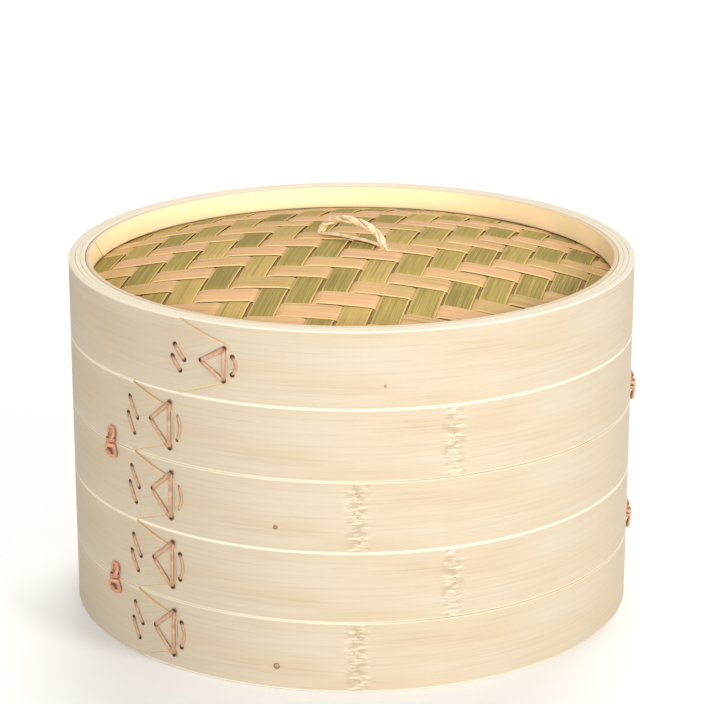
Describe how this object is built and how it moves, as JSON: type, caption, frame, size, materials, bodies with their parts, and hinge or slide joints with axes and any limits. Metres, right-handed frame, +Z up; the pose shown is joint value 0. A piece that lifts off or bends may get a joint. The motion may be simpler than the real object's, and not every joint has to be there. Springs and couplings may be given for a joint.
{
  "type": "bamboo steamer basket",
  "caption": "Round bamboo steamer with stacked slat-floored baskets of wound hoops and a lid with a woven dome and cane handle.",
  "frame": {"origin": "centre of the lower basket's bottom rim, on the surface that it stands on", "axes": "+Z up the stack's axis, -Y towards the front, where the laps of the hoops are left of the middle"},
  "size_m": [0.2543, 0.2496, 0.1725],
  "materials": {
    "hoop_bamboo": "planed bamboo strip, bare",
    "ring_bamboo": "planed bamboo strip, bare",
    "floor_bamboo": "sawn bamboo slats, bare",
    "peg_bamboo": "end grain bamboo",
    "woven_bamboo": "split bamboo skin, satin",
    "lining_bamboo": "split bamboo, matte",
    "lacing_cane": "split cane, satin",
    "knot_cane": "split cane, satin",
    "handle_cane": "split cane, satin"
  },
  "bodies": {
    "lower_basket": {"lower_bottom_hoop": "hoop_bamboo", "lower_top_hoop": "hoop_bamboo", "lower_collar_ring": "ring_bamboo", "lower_floor_ring": "ring_bamboo", "lower_cross_laths": "floor_bamboo", "lower_hoop_pegs": "peg_bamboo", "lower_bottom_lacing": "lacing_cane", "lower_top_lacing": "lacing_cane", "lower_side_knots": "knot_cane", "lower_slat_01": "floor_bamboo", "lower_slat_02": "floor_bamboo", "lower_slat_03": "floor_bamboo", "lower_slat_04": "floor_bamboo", "lower_slat_05": "floor_bamboo", "lower_slat_06": "floor_bamboo", "lower_slat_07": "floor_bamboo", "lower_slat_08": "floor_bamboo", "lower_slat_09": "floor_bamboo", "lower_slat_10": "floor_bamboo", "lower_slat_11": "floor_bamboo", "lower_slat_12": "floor_bamboo", "lower_slat_13": "floor_bamboo", "lower_slat_14": "floor_bamboo", "lower_slat_15": "floor_bamboo", "lower_slat_16": "floor_bamboo", "lower_slat_17": "floor_bamboo"},
    "upper_basket": {"upper_bottom_hoop": "hoop_bamboo", "upper_top_hoop": "hoop_bamboo", "upper_collar_ring": "ring_bamboo", "upper_floor_ring": "ring_bamboo", "upper_cross_laths": "floor_bamboo", "upper_hoop_pegs": "peg_bamboo", "upper_bottom_lacing": "lacing_cane", "upper_top_lacing": "lacing_cane", "upper_side_knots": "knot_cane", "upper_slat_01": "floor_bamboo", "upper_slat_02": "floor_bamboo", "upper_slat_03": "floor_bamboo", "upper_slat_04": "floor_bamboo", "upper_slat_05": "floor_bamboo", "upper_slat_06": "floor_bamboo", "upper_slat_07": "floor_bamboo", "upper_slat_08": "floor_bamboo", "upper_slat_09": "floor_bamboo", "upper_slat_10": "floor_bamboo", "upper_slat_11": "floor_bamboo", "upper_slat_12": "floor_bamboo", "upper_slat_13": "floor_bamboo", "upper_slat_14": "floor_bamboo", "upper_slat_15": "floor_bamboo", "upper_slat_16": "floor_bamboo", "upper_slat_17": "floor_bamboo"},
    "lid": {"lid_hoop": "hoop_bamboo", "lid_upper_clamp_ring": "ring_bamboo", "lid_lower_clamp_ring": "ring_bamboo", "lid_woven_dome": "woven_bamboo", "lid_dome_lining": "lining_bamboo", "lid_handle": "handle_cane", "lid_pegs": "peg_bamboo", "lid_lacing": "lacing_cane"}
  },
  "joints": [
    {"name": "upper_basket_lift", "type": "slide", "parent": "lower_basket", "child": "upper_basket", "axis": [0, 0, 1], "range_m": [0, 0.0415]},
    {"name": "lid_lift", "type": "slide", "parent": "upper_basket", "child": "lid", "axis": [0, 0, 1], "range_m": [0, 0.046]}
  ]
}
